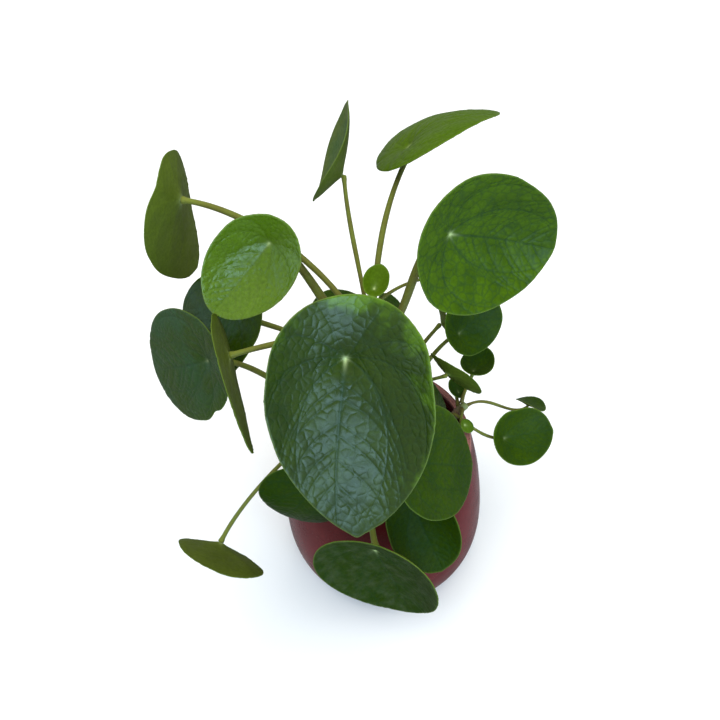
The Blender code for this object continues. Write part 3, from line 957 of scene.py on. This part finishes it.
def make_blade(name, number):
    """A fine two-sided blade with a rounded rim, over its solid."""
    look, sizes = LOOKS.get(name, Look()), settings("blade")
    shape = BladeShape(name, look.lean)
    rng = random.Random(number)
    spacing = sizes.spacing * look.fine
    if shape.length < SMALL_BLADE:
        spacing *= 0.8
    count = max(10, math.ceil(shape.length / spacing))
    small = min(1.0, shape.length / FULL_BLADE)
    hub_size = 0.5 + 0.5 * small
    scale = np.array([shape.half_width, shape.length])
    nerves = nerve_tree(rng)

    def spokes_at(share):
        """Points round the ring at this share of the way out: 16 doubled as often as needed."""
        wanted = share * shape.round / spacing / 1.3
        return SPOKES * 2 ** max(0, math.ceil(math.log2(max(wanted, 1) / SPOKES)))

    def sheet(shares, sides):
        """One skin's places, flat places, normals, lifts along them, and what it carries."""
        ring = np.concatenate([np.full(n, share) for share, n in zip(shares, sides)])
        turn = np.concatenate([np.arange(n) * 2 * np.pi / n for n in sides])
        places, flat, normals = shape.with_normals(ring, turn)
        reach = rim_reach(shape, look, ring, turn, small, number)
        places += unit(places - shape.hub) * (MM * reach)[:, None]
        nerve, gap = nerve_marks(flat, scale, nerves, 0.6 + 0.4 * small)
        inside = cell_net(flat, look.cell * MM * hub_size, number)
        from_hub = np.linalg.norm(flat, axis=1) / MM
        from_dot = np.hypot(flat[:, 0], np.where(flat[:, 1] > 0, 0.55, 1.0) * flat[:, 1]) / MM
        rim_gap = (1 - ring) * shape.length / MM
        # the surface rises away from the nerves and in the small cells, and sinks at the nerves
        puffed = (1 - np.exp(-gap / 1.6)) * ease(from_hub / 12)
        lift = sizes.quilting * look.quilt * small * puffed
        swell = 0.6 + 0.4 * wobble(flat, SWELL_SIZE, number)
        blistered = swell * ease(inside / 0.45) * ease(from_hub / 10)
        lift += sizes.blistering * look.blister * blistered
        lift -= sizes.vein_depth * nerve * small
        # a swelling round the hub, the dimple over the stalk, and the dot in the dimple
        lift += look.funnel * MM * small * (bell(from_hub, 24) - bell(from_hub, 8))
        lift -= 0.7 * MM * hub_size * bell(from_hub, 3.5 * hub_size)
        lift += 0.3 * MM * hub_size * bell(from_hub, 1.1 * hub_size)
        # broad waves, and a rim that turns down
        broad = wobble(flat, BROAD_WAVE, number + 40, 1)
        lift += look.wave * MM * small * broad * ring**1.5
        lift -= 0.25 * MM * bell(rim_gap, 0.9)
        marks = {
            "nerve": nerve,
            "net": bell(inside, 0.1) * ease(from_hub / 6),
            "pale": bell(from_dot, 1.7 * hub_size, 1.3),
            "rim": bell(rim_gap, 0.5),
            # painted light: the outer band is strongest on the side toward the sun
            "outer": ring**2.5 * (0.45 + 0.55 * np.cos(turn - look.sun)),
        }
        return places, flat, normals, lift, marks

    shares = [k / count for k in range(1, count + 1)]
    sides = [spokes_at(share) for share in shares]
    skin = Skin()
    flats, all_marks = [], defaultdict(list)

    def record(flat, marks, rows=slice(None)):
        flats.append(flat[rows])
        for key, values in marks.items():
            all_marks[key].append(values[rows])

    places, flat, normals, lift, marks = sheet([0.0] + shares, [1] + sides)
    top = places + normals * lift[:, None]
    numbers = skin.add(top)
    record(flat, marks)
    ends = np.cumsum([1] + sides)
    rings = [numbers[a:b] for a, b in zip([0, *ends], ends)]
    for inner, outer in zip(rings, rings[1:]):
        skin.join(inner, outer, 0)
    thick = sizes.thickness * (0.55 + 0.45 * small)
    rim_rows = slice(ends[-2], ends[-1])
    outward = unit(top[rim_rows] - shape.hub)
    edge = top[rim_rows] + outward * EDGE_OVERHANG - normals[rim_rows] * thick * 0.28
    edge_ring = skin.add(edge)
    record(flat, marks, rim_rows)
    skin.join(rings[-1], edge_ring, 0)
    under_shares = shares[::-1][::2]
    under_sides = [sides[-1]] + [max(SPOKES, spokes_at(share) // 2) for share in under_shares[1:]]
    places, flat, normals, lift, marks = sheet(under_shares + [0.0], under_sides + [1])
    ring = np.repeat(under_shares + [0.0], under_sides + [1])
    depth = thick * (1 - 0.4 * ease((ring - 0.75) / 0.25))
    under = places + normals * (lift * 0.8 - depth)[:, None]
    numbers = skin.add(under)
    marks["rim"] = marks["rim"] * 0.5
    marks["pale"] = marks["pale"] ** 0.4
    record(flat, marks)
    ends = np.cumsum(under_sides + [1])
    rings = [numbers[a:b] for a, b in zip([0, *ends], ends)]
    skin.join(edge_ring, rings[0], 1)
    for outer, inner in zip(rings, rings[1:]):
        skin.join(outer, inner, 1)
    materials = [blade_finish(look.finish), blade_finish(look.under)]
    attributes = {key: np.concatenate(values) for key, values in all_marks.items()}
    flat = np.vstack(flats) * 10 + np.array([0.37 * number, 0.61 * number])
    piece = skin.piece(name + "_blade", materials, attributes, flat)
    settle(piece, name + "_leaf")
    return shape


# ---------------------------------------------------------------- rods

STALK_SIDES = 14
STALK_STEP = 1.1 * MM  # distance between a stalk's rings
STALK_SINK = 0.9 * MM  # how far a stalk's foot starts inside the stem
JOINT_DEPTH = 0.8 * MM  # how far under a blade's top side its stalk ends
STEM_SIDES = 40
MANY_SCARS = 12  # a stem with more scars than this has more rings
DIVERGENCE = math.radians(137.5)  # turn from one leaf's scar to the next


def bezier_through(centres, count):
    """The one cubic on which the rod's centres lie evenly, sampled finely."""
    t = np.linspace(0, 1, len(centres))[:, None]
    basis = np.hstack([(1 - t) ** 3, 3 * t * (1 - t) ** 2, 3 * t * t * (1 - t), t**3])
    control = np.linalg.lstsq(basis, centres, rcond=None)[0]
    return curve(*control, count)


def spline_through(centres, count):
    """A smooth curve through every centre, sampled evenly by number."""
    padded = np.vstack([2 * centres[0] - centres[1], centres, 2 * centres[-1] - centres[-2]])
    spots = np.linspace(0, len(centres) - 1 - 1e-9, count)
    index = spots.astype(int)
    t = (spots - index)[:, None]
    a, b, c, d = (padded[index + k] for k in range(4))
    curved = (2 * a - 5 * b + 4 * c - d) * t**2 + (3 * b - a - 3 * c + d) * t**3
    return 0.5 * (2 * b + (c - a) * t + curved)


def rings_along(path, radii, sides):
    """Round rings square to a path, without twist. Radii may differ round each ring."""
    tangents = unit(np.gradient(path, axis=0))
    side = unit(np.cross(tangents[0], (0.3, 0.2, 0.9)))
    turns = np.arange(sides) * 2 * np.pi / sides
    rings = []
    for place, tangent, radius in zip(path, tangents, radii):
        side = unit(side - tangent * (side @ tangent))
        other = np.cross(tangent, side)
        spokes = np.cos(turns)[:, None] * side + np.sin(turns)[:, None] * other
        rings.append(place + spokes * np.reshape(radius, (-1, 1)))
    return rings


def rod_marks(sides, along):
    """A value carried along a rod's rings and on to its two end points."""
    rows = np.repeat(along, sides)
    return np.concatenate([rows, along[:1], along[-1:]])


def stalk_finish():
    look = settings("stalk")
    material, tree, shader = new_material("stalk_skin")
    grain = placed(
        tree,
        "grain",
        Light_Colour=rgba(look.green),
        Dark_Colour=rgba(look.brown),
        Size=160.0,
        Contrast=0.55,
        Roughness_Low=0.34,
        Roughness_High=0.52,
    )
    along = carried(tree, "along")
    # painted shade in part: the stalk darkens to brown toward its foot, under the leaves, as well as
    # with age
    aged_and_shaded = spread(tree, along, 0.0, 0.55, 0.75, 0.0)
    colour = blended(tree, aged_and_shaded, grain.outputs["Colour"], rgba(look.brown))
    fresh = spread(tree, along, 0.8, 1.0, 0.0, 0.55)
    colour = blended(tree, fresh, colour, rgba(np.array(look.green) * 1.5))
    tree.links.new(colour, shader.inputs["Base Color"])
    tree.links.new(grain.outputs["Roughness"], shader.inputs["Roughness"])
    shader.inputs["Specular IOR Level"].default_value = 0.15
    bumped(tree, shader, grain.outputs["Height"], 0.25, 0.0004)
    return material


def make_stalk(name, shape, number, material):
    """A slim round stalk, swollen at its foot and widening under the blade."""
    look = settings("stalk")
    centres, radii = rod(name + "_stalk", shape.hub)
    length = np.linalg.norm(np.diff(centres, axis=0), axis=1).sum()
    count = max(14, math.ceil(length / STALK_STEP))
    path = bezier_through(centres, count)
    start = unit(path[0] - path[1])
    joint = shape.hub - shape.normal * JOINT_DEPTH
    path = np.vstack([path[0] + start * STALK_SINK, path, joint])
    along = np.concatenate([[0], np.linspace(0, 1, count), [1]])
    spot = along * length / MM
    stout = LOOKS.get(name, Look()).stout
    radius = radii.mean() * stout * (look.waist + 0.08 * np.cos(along * 9 + number))
    radius *= 1 + (look.foot - 1) * bell(spot, 3.0)
    radius *= 1 + (look.flare - 1) * bell(length / MM - spot, 2.2)
    radius[-1] *= 0.6
    rings = rings_along(path, radius, STALK_SIDES)
    skin = Skin()
    skin.closed_ring_stack(rings)
    marks = {"along": rod_marks(STALK_SIDES, along)}
    piece = skin.piece(name + "_stem_rod", [material], marks)
    settle(piece, name + "_stalk")


def bark_finish():
    look = settings("stem")
    material, tree, shader = new_material("stem_bark_skin")
    grain = placed(
        tree,
        "grain",
        Light_Colour=rgba(look.bark),
        Dark_Colour=rgba(look.crease),
        Size=330.0,
        Contrast=0.85,
        Roughness_Low=0.65,
        Roughness_High=0.9,
    )
    green = spread(tree, carried(tree, "along"), 0.72, 1.0, 0.0, 0.85)
    colour = blended(tree, green, grain.outputs["Colour"], rgba(look.shoot))
    scar = maths(tree, "MULTIPLY", carried(tree, "scar"), 0.7, clamp=True)
    colour = blended(tree, scar, colour, rgba(np.array(look.crease) * 1.4))
    tree.links.new(colour, shader.inputs["Base Color"])
    tree.links.new(grain.outputs["Roughness"], shader.inputs["Roughness"])
    bumped(tree, shader, grain.outputs["Height"], 0.6, 0.0008)
    return material


def make_stem(name, scars, number, material):
    """A woody stem with ridged nodes and oval leaf scars that wind up it."""
    look = settings("stem")
    centres, radii = rod(name, np.array((0, 0, 1)))
    count = 150 if scars > MANY_SCARS else 70
    path = spline_through(centres, count)
    along = np.linspace(0, 1, count)
    radius = np.interp(along, np.linspace(0, 1, len(radii)), radii)
    turns = np.arange(STEM_SIDES) * 2 * np.pi / STEM_SIDES
    spin = np.stack([np.cos(turns), np.sin(turns), 0 * turns], axis=1)
    spots = (path[:, None] + spin * radius[:, None, None]).reshape(-1, 3)
    shape = (count, STEM_SIDES)
    rough = wobble(spots, 0.004, number, 3).reshape(shape) * 0.05
    rough = rough + wobble(spots, 0.012, number + 5, 1).reshape(shape) * 0.05
    scar_marks, swell = np.zeros(shape), np.zeros(shape)
    length = np.linalg.norm(np.diff(path, axis=0), axis=1).sum()
    for k in range(scars):
        middle = 0.27 + 0.7 * k / scars
        gap_up = (along - middle)[:, None] * length / MM
        gap_round = apart(turns[None], k * DIVERGENCE) * radius.mean() / MM
        oval = np.exp(-((gap_up / 1.5) ** 2 + (gap_round / 2.6) ** 2) ** 1.5)
        scar_marks = np.maximum(scar_marks, oval)
        swell = np.maximum(swell, bell(gap_up, 2.2) * bell(gap_round, 3.6))
    rows = radius[:, None] * (1 + rough)
    rows += swell * 0.5 * MM - scar_marks * look.scar_depth
    rows *= (0.35 + 0.65 * ease((1 - along) / 0.03))[:, None]
    skin = Skin()
    skin.closed_ring_stack(rings_along(path, rows, STEM_SIDES))
    marks = {
        "along": rod_marks(STEM_SIDES, along),
        "scar": np.concatenate([scar_marks.ravel(), [0, 0]]),
    }
    piece = skin.piece(name + "_wood", [material], marks)
    settle(piece, name)


# ---------------------------------------------------------------- pot and soil

LIP_RISE = 0.25 * MM  # how far the lip is rounded up over its solid
# painted highlight in part: the pale thin glaze at the lip also stands in for the glaze's pinkish
# reflections
LIP_WEAR = 2.2 * MM  # width of the thin glaze at the lip
FOOT_WEAR = 4 * MM  # width of the thin glaze at the foot
SOIL_SIDES, SOIL_RINGS = 128, 44
LUMP_SIZE = 7 * MM
BARK_SHARE = 0.22  # share of the loose crumbs that are slivers of bark


def pot_profile():
    """Radius and height along the pot's wall, from its base up the outside and down the inside."""
    points, triangles = welded("pot")
    near = neighbours(triangles)
    section = {i for i, p in enumerate(points) if abs(p[1]) < 1e-6 and p[0] > 0}
    path = [min(section, key=lambda i: (points[i][2], points[i][0]))]
    while len(path) < len(section):
        onward = [i for i in near[path[-1]] & section if i not in path]
        path.append(onward[0])
    return points[path][:, [0, 2]]


def glaze_finish():
    look = settings("pot")
    material, tree, shader = new_material("pot_glaze_skin")
    grain = placed(
        tree,
        "grain",
        Light_Colour=rgba(look.glaze),
        Dark_Colour=rgba(np.array(look.glaze) * 0.6),
        Size=26.0,
        Contrast=0.7,
        Roughness_Low=0.2,
        Roughness_High=0.34,
    )
    place = node(tree, "ShaderNodeTexCoord").outputs["Object"]
    cloud = noise_at(tree, place, 45.0, 6.0, 0.65)
    thin = maths(tree, "ADD", carried(tree, "thin"), spread(tree, cloud, 0.5, 0.8, 0.0, 0.07))
    thin = maths(tree, "MULTIPLY", thin, 0.85, clamp=True)
    # the thin glaze is real wear at lip and foot, and near the rim and in clouds it is also a painted
    # highlight in place of pinkish reflections
    colour = blended(tree, thin, grain.outputs["Colour"], rgba(look.worn_and_highlight))
    specks = spread(tree, noise_at(tree, place, 620.0, 2.0, 0.5), 0.68, 0.73, 0.0, 0.6)
    colour = blended(tree, specks, colour, (0.03, 0.012, 0.01, 1))
    tree.links.new(colour, shader.inputs["Base Color"])
    tree.links.new(grain.outputs["Roughness"], shader.inputs["Roughness"])
    shader.inputs["Specular IOR Level"].default_value = 0.05
    bumped(tree, shader, grain.outputs["Height"], 0.2, 0.0012)
    return material


def make_pot():
    """A glazed pot turned round the profile of its solid, with the lip made round."""
    look = settings("pot")
    profile = pot_profile()
    rim = int(np.argmax(profile[:, 1]))
    outer = spline_through(profile[: rim + 1], 90)
    inner = spline_through(profile[rim + 1 :], 50)
    lip = (outer[-1] + inner[0]) / 2 + np.array((0, LIP_RISE))
    base = np.linspace(0.1, 0.97, 8)[:, None] * profile[0]
    floor = np.linspace(0.97, 0.1, 5)[:, None] * np.array((profile[-1][0], 0))
    floor[:, 1] = profile[-1][1]
    line = np.vstack([base, outer, lip, inner, floor])
    turns = np.arange(look.around) * 2 * np.pi / look.around
    ring = np.stack([np.cos(turns), np.sin(turns), 0 * turns], axis=1)
    rings = [ring * r + np.array((0, 0, z)) for r, z in line]
    skin = Skin()
    skin.closed_ring_stack(rings)
    height = profile[:, 1].max()
    edge = bell(height - line[:, 1], LIP_WEAR)
    foot = 0.6 * bell(line[:, 1], FOOT_WEAR)
    thin = rod_marks(look.around, np.maximum(edge, foot))
    piece = skin.piece("pot_body", [glaze_finish()], {"thin": thin})
    settle(piece, "pot")


def soil_finish():
    look = settings("soil")
    material, tree, shader = new_material("soil_skin")
    grain = placed(
        tree,
        "grain",
        Light_Colour=rgba(look.earth),
        Dark_Colour=rgba(look.fibre),
        Size=520.0,
        Contrast=0.5,
        Roughness_Low=0.8,
        Roughness_High=1.0,
    )
    chip = maths(tree, "MULTIPLY", carried(tree, "chip"), 1.0, clamp=True)
    colour = blended(tree, chip, grain.outputs["Colour"], rgba(np.array(look.fibre) * 1.5))
    tree.links.new(colour, shader.inputs["Base Color"])
    tree.links.new(grain.outputs["Roughness"], shader.inputs["Roughness"])
    bumped(tree, shader, grain.outputs["Height"], 0.9, 0.0012)
    return material


def crumb_rings(rng, spot, ground):
    """Rings of points round one loose crumb, and whether it is a sliver of bark."""
    bark = rng.random() < BARK_SHARE
    size = rng.uniform(0.5, 1.7) * MM
    if bark:
        stretch = (rng.uniform(1.6, 3.0), 0.7, 0.3)
    else:
        stretch = (1, rng.uniform(0.7, 1), rng.uniform(0.6, 0.9))
    swung = Matrix.Rotation(rng.uniform(0, 2 * math.pi), 3, "Z")
    lie = swung @ Matrix.Rotation(rng.uniform(-0.5, 0.5), 3, "X")
    rings = []
    for height in (-0.72, -0.1, 0.62):
        wide = math.sqrt(1 - height * height)
        ring = []
        for k in range(6):
            turn = k * math.pi / 3
            reach = wide * rng.uniform(0.75, 1.15)
            corner = (math.cos(turn) * reach, math.sin(turn) * reach, height)
            place = lie @ Vector([a * b for a, b in zip(corner, stretch)]) * size
            ring.append((spot[0] + place.x, spot[1] + place.y, ground + size * 0.3 + place.z))
        rings.append(np.array(ring))
    return rings, bark


def make_soil():
    """Uneven soil with loose crumbs and slivers of bark on top."""
    look = settings("soil")
    low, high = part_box("soil")
    points = welded("soil")[0]
    radii = np.hypot(points[:, 0], points[:, 1])
    at_top = points[:, 2] > high.z - 3.5 * MM
    radius = radii[at_top].max()
    wall_top = points[at_top][np.argmax(radii[at_top])][2]
    turns = np.arange(SOIL_SIDES) * 2 * np.pi / SOIL_SIDES
    spin = np.stack([np.cos(turns), np.sin(turns)], axis=1)
    level = np.zeros(SOIL_SIDES)

    def mound(share):
        """Height of the even ground at this share of the way from the middle to the wall."""
        return wall_top + (high.z - wall_top) * (1 - share**2)

    skin = Skin()
    last = skin.add(np.array((0, 0, high.z)))
    for k in range(1, SOIL_RINGS + 1):
        share = k / SOIL_RINGS
        flat = spin * radius * share
        lumps = wobble(np.column_stack([flat, level]), LUMP_SIZE, 3, 4)
        lumps = lumps * look.unevenness * (1 - 0.7 * share**8)
        following = skin.add(np.column_stack([flat, mound(share) + lumps]))
        skin.join(last, following)
        last = following
    for share, width in ((0.35, 0.995), (0.75, 0.995), (1.0, 0.96)):
        z = wall_top + (low.z - wall_top) * share
        wall = radii[np.abs(points[:, 2] - z) < 12 * MM].max(initial=0.0) or radius
        following = skin.add(np.column_stack([spin * wall * width, level + z]))
        skin.join(last, following)
        last = following
    skin.join(last, skin.add(np.array((0, 0, low.z))))

    chips = [0.0] * skin.count
    rng = random.Random(11)
    for _ in range(look.crumbs):
        away = radius * math.sqrt(rng.random()) * 0.96
        turn = rng.uniform(0, 2 * math.pi)
        spot = np.array((away * math.cos(turn), away * math.sin(turn)))
        lump = wobble(np.array([[*spot, 0.0]]), LUMP_SIZE, 3, 4)[0] * look.unevenness
        rings, bark = crumb_rings(rng, spot, mound(away / radius) + lump)
        before = skin.count
        skin.closed_ring_stack(rings)
        chips += [float(bark)] * (skin.count - before)
    piece = skin.piece("soil_bed", [soil_finish()], {"chip": chips})
    settle(piece, "soil")


# ---------------------------------------------------------------- stage

CAMERA_PLACE = (-0.0077, -0.2976, 0.5335)
DAYLIGHT = (0.46, 0.76, 1.0)
LAMPLIGHT = (1.0, 0.95, 0.88)
SKY = (0.92, 0.96, 1.0)
FLOOR_REACH = 4.0


def area_light(name, place, aim, size, power, colour):
    """A soft oblong light at a place, turned to what it lights."""
    lamp = bpy.data.lights.new(name, "AREA")
    lamp.shape = "RECTANGLE"
    lamp.size, lamp.size_y = size
    lamp.energy = power
    lamp.color = colour
    obj = bpy.data.objects.new(name, lamp)
    obj.location = place
    obj.rotation_euler = (Vector(aim) - Vector(place)).to_track_quat("-Z", "Y").to_euler()
    bpy.context.scene.collection.objects.link(obj)
    return obj


def make_camera(look):
    """The camera, tilted down and turned a little about its view."""
    camera = bpy.data.cameras.new("camera")
    camera.lens = look.lens
    camera.clip_start = 0.01
    eye = bpy.data.objects.new("camera", camera)
    bpy.context.scene.collection.objects.link(eye)
    forward = Vector((0, math.cos(look.pitch), -math.sin(look.pitch)))
    right = Vector((1, 0, 0))
    up = right.cross(forward)
    right, up = (
        right * math.cos(look.roll) - up * math.sin(look.roll),
        up * math.cos(look.roll) + right * math.sin(look.roll),
    )
    turned = Matrix((right, up, -forward)).transposed().to_4x4()
    eye.matrix_world = Matrix.Translation(CAMERA_PLACE) @ turned
    bpy.context.scene.camera = eye


def make_floor(look):
    """A plain pale floor."""
    reach = FLOOR_REACH
    corners = [(-reach, -reach, 0), (reach, -reach, 0), (reach, reach, 0), (-reach, reach, 0)]
    mesh = bpy.data.meshes.new("floor")
    mesh.from_pydata(corners, [], [(0, 1, 2, 3)])
    floor = bpy.data.objects.new("floor", mesh)
    bpy.context.scene.collection.objects.link(floor)
    material, _, shader = new_material("floor_paint")
    shader.inputs["Base Color"].default_value = rgba(look.backdrop)
    shader.inputs["Roughness"].default_value = 0.8
    mesh.materials.append(material)
    return floor


def make_stage():
    """The camera, the floor, an even sky, two windows and a ceiling light."""
    look = settings("stage")
    make_camera(look)
    floor = make_floor(look)
    scene = bpy.context.scene
    world = bpy.data.worlds.new("studio")
    world.use_nodes = True
    background = world.node_tree.nodes["Background"]
    background.inputs["Color"].default_value = rgba(SKY)
    background.inputs["Strength"].default_value = 0.5
    scene.world = world
    scene.view_settings.view_transform = "Standard"
    plant = (0, 0, 0.2)
    area_light("window", (0.5, -1.45, 0.66), plant, (1.3, 0.9), 22, DAYLIGHT)
    area_light("side_window", (-1.4, -0.05, 0.55), plant, (1.0, 1.1), 5, DAYLIGHT)
    ceiling = area_light("ceiling", (0.1, -0.1, 1.8), (0, 0, 0.1), (2.0, 2.0), 48, LAMPLIGHT)
    # only the windows mirror in the leaves: the ceiling and the floor would grey all of them
    ceiling.visible_glossy = False
    floor.visible_glossy = False


# ---------------------------------------------------------------- operators


class MONEYPLANT_OT_pot(bpy.types.Operator):
    """Builds the glazed cover pot over its solid"""

    bl_idname = "moneyplant.pot"
    bl_label = "Build Pot"

    def execute(self, context):
        make_pot()
        return {"FINISHED"}


class MONEYPLANT_OT_soil(bpy.types.Operator):
    """Builds the soil with its loose crumbs"""

    bl_idname = "moneyplant.soil"
    bl_label = "Build Soil"

    def execute(self, context):
        make_soil()
        return {"FINISHED"}


class MONEYPLANT_OT_stems(bpy.types.Operator):
    """Builds the woody main stem and the side shoot"""

    bl_idname = "moneyplant.stems"
    bl_label = "Build Stems"

    def execute(self, context):
        bark = bark_finish()
        make_stem("main_stem", 22, 1, bark)
        make_stem("side_shoot", 7, 2, bark)
        return {"FINISHED"}


class MONEYPLANT_OT_leaves(bpy.types.Operator):
    """Builds every leaf: its veined blade and its stalk"""

    bl_idname = "moneyplant.leaves"
    bl_label = "Build Leaves"

    def execute(self, context):
        skin = stalk_finish()
        for number, name in enumerate(LEAF_NAMES, 1):
            shape = make_blade(name, number)
            make_stalk(name, shape, number, skin)
        return {"FINISHED"}


class MONEYPLANT_OT_stage(bpy.types.Operator):
    """Sets up the camera, the lights and the floor"""

    bl_idname = "moneyplant.stage"
    bl_label = "Set Up Stage"

    def execute(self, context):
        make_stage()
        return {"FINISHED"}


class MONEYPLANT_PT_panel(bpy.types.Panel):
    """Lists the pieces and their settings"""

    bl_idname = "MONEYPLANT_PT_panel"
    bl_label = "Money Plant"
    bl_space_type = "VIEW_3D"
    bl_region_type = "UI"
    bl_category = "Money Plant"

    def draw(self, context):
        for operator in OPERATORS:
            self.layout.operator(operator.bl_idname)
        for kind, group in SETTINGS.items():
            box = self.layout.box()
            box.label(text=kind.capitalize())
            for name in group.__annotations__:
                box.prop(settings(kind), name)


OPERATORS = (
    MONEYPLANT_OT_stage,
    MONEYPLANT_OT_pot,
    MONEYPLANT_OT_soil,
    MONEYPLANT_OT_stems,
    MONEYPLANT_OT_leaves,
)
CLASSES = (*SETTINGS.values(), *OPERATORS, MONEYPLANT_PT_panel)


def register():
    for cls in CLASSES:
        bpy.utils.register_class(cls)
    for kind, group in SETTINGS.items():
        setattr(bpy.types.Scene, "moneyplant_" + kind, PointerProperty(type=group))


def unregister():
    for kind in SETTINGS:
        delattr(bpy.types.Scene, "moneyplant_" + kind)
    for cls in reversed(CLASSES):
        bpy.utils.unregister_class(cls)


def main():
    register()
    for operator in OPERATORS:
        step = operator.bl_idname.split(".")[1]
        getattr(bpy.ops.moneyplant, step)()


if __name__ == "__main__":
    main()
